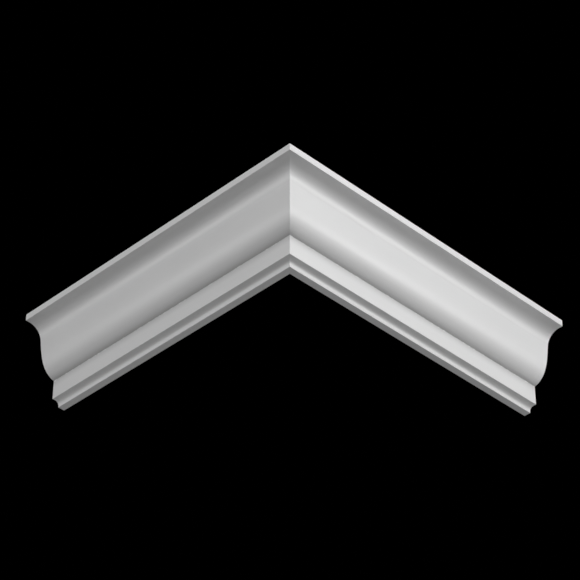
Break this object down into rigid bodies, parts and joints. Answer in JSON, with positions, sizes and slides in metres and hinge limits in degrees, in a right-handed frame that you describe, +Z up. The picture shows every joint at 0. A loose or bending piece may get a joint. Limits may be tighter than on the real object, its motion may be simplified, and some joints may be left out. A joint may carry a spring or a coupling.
{
  "type": "cornice moulding outside corner",
  "caption": "Plain cast plaster cornice with fillet, cove, swelling ovolo and fascia, as lengths mitred square round the outside corner of a wall.",
  "frame": {"origin": "middle of the foot of the bounding box, in the plane of the underside that both lengths stand on; the foot of the wall's corner is at (-0.1695, -0.161, 0)", "axes": "+X along the right length, away from the wall's corner; +Y along the left length, away from the corner; +Z up, towards the ceiling. The moulded faces look towards -Y and -X"},
  "size_m": [0.479, 0.462, 0.11],
  "materials": {
    "white_plaster": "matte"
  },
  "bodies": {
    "root": {"cornice_length_right": "white_plaster", "cornice_length_left": "white_plaster"}
  },
  "joints": []
}
